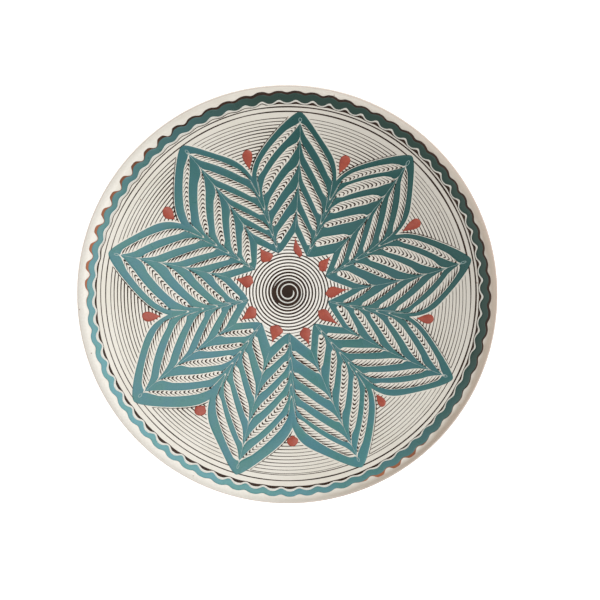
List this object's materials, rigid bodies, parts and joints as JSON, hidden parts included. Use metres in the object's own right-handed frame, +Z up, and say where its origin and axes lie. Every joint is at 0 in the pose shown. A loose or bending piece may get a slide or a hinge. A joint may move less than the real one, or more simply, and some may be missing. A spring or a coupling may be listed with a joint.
{
  "type": "decorative ceramic plate",
  "caption": "Round shallow earthenware dish on a turned foot ring, its glazed face painted in slip with a petalled star and a wavy border.",
  "frame": {"origin": "centre of the plane that the foot ring rests on, on the axis of the dish", "axes": "+Z up along the axis of the dish, out of its painted face; +Y towards the petal point that is uppermost when the plate hangs on a wall; +X to the right of it"},
  "size_m": [0.28, 0.28, 0.0427],
  "materials": {
    "red_clay": "bare fired red earthenware, matte, with turning marks",
    "cream_slip": "cream slip under clear gloss glaze",
    "brown_slip": "dark brown trailed slip under clear gloss glaze",
    "teal_slip": "blue-green slip under clear gloss glaze, slightly mottled",
    "red_slip": "brick red slip under clear gloss glaze"
  },
  "bodies": {
    "root": {"clay_body": "red_clay", "cream_slip": "cream_slip", "star_band_1": "teal_slip", "star_band_2": "teal_slip", "star_band_3": "teal_slip", "star_band_4": "teal_slip", "star_band_5": "teal_slip", "star_band_6": "teal_slip", "outer_drop_1": "red_slip", "outer_drop_2": "red_slip", "outer_drop_3": "red_slip", "outer_drop_4": "red_slip", "outer_drop_5": "red_slip", "outer_drop_6": "red_slip", "outer_drop_7": "red_slip", "outer_drop_8": "red_slip", "outer_drop_9": "red_slip", "inner_drop_1": "red_slip", "inner_drop_2": "red_slip", "inner_drop_3": "red_slip", "inner_drop_4": "red_slip", "inner_drop_5": "red_slip", "inner_drop_6": "red_slip", "inner_drop_7": "red_slip", "inner_drop_8": "red_slip", "inner_drop_9": "red_slip", "centre_pool": "brown_slip", "centre_curl": "cream_slip", "brown_spiral": "brown_slip", "border_edge_line": "brown_slip", "border_teal_wave": "teal_slip", "border_cream_wave": "cream_slip", "border_scallops": "brown_slip", "ring_line_1": "brown_slip", "ring_line_2": "brown_slip"}
  },
  "joints": []
}
